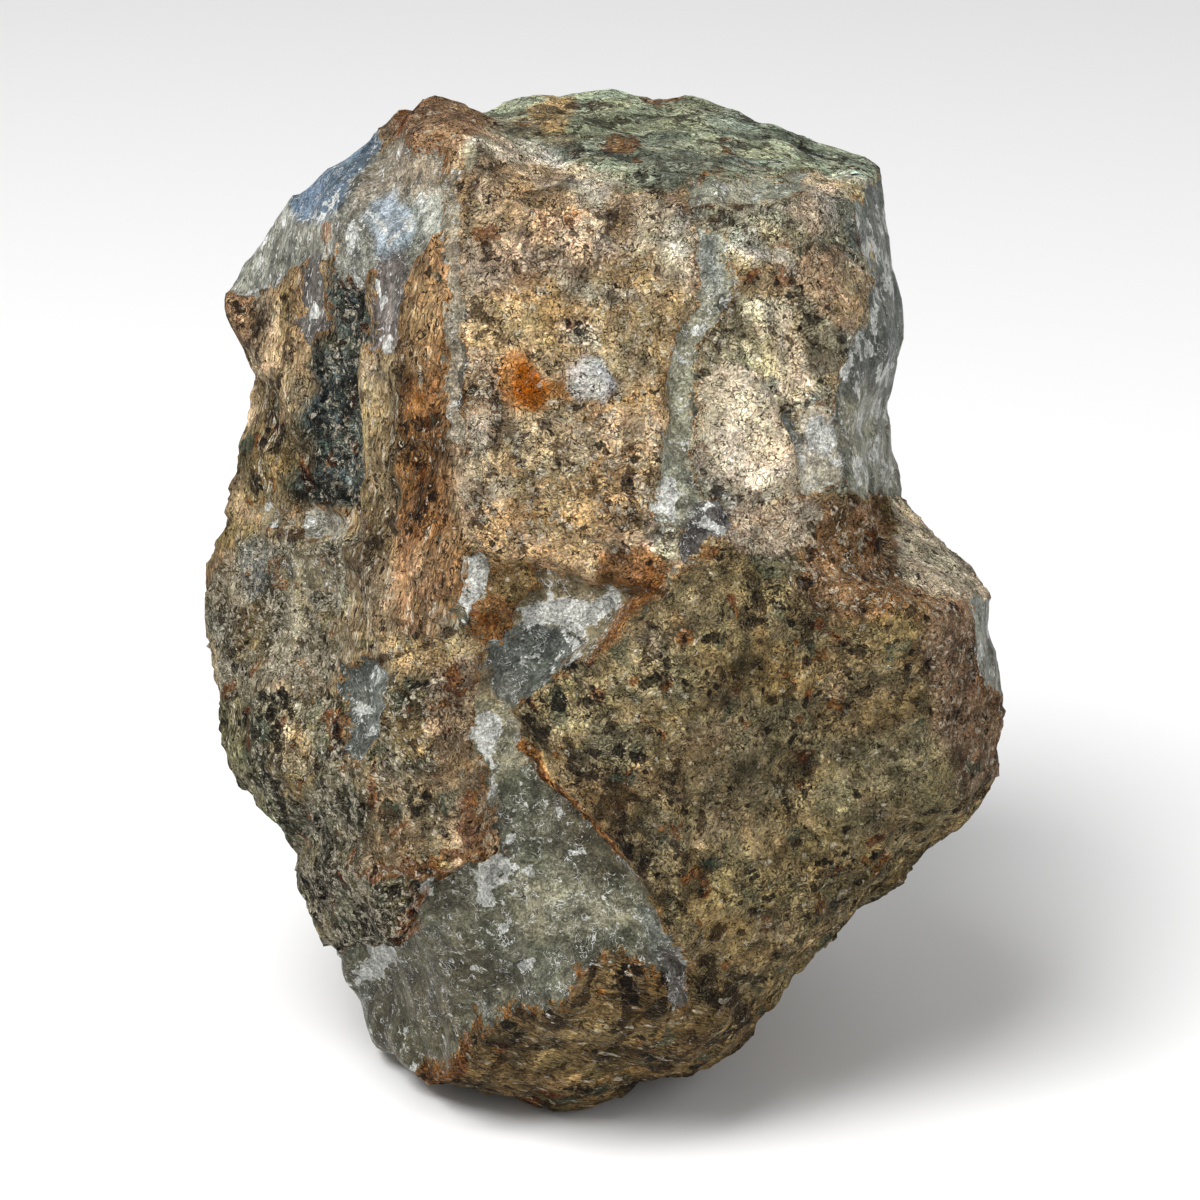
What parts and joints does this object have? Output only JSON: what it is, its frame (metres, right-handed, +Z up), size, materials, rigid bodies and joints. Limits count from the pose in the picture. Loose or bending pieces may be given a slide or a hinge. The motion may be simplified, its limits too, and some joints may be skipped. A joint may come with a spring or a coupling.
{
  "type": "blue lace agate geode",
  "caption": "Rough, unpolished agate geode: an angular broken stone of brown host rock bound by grey-blue chalcedony seams, resting on a small flat spot.",
  "frame": {"origin": "on the flat spot that the stone rests on, near its middle", "axes": "+Z up, -Y towards the viewer of the side with the proud block of rock, +X to that viewer's right"},
  "size_m": [0.079, 0.0808, 0.0953],
  "materials": {
    "rough_stone": "rough broken rock with waxy chalcedony seams"
  },
  "bodies": {
    "root": {"geode": "rough_stone"}
  },
  "joints": []
}
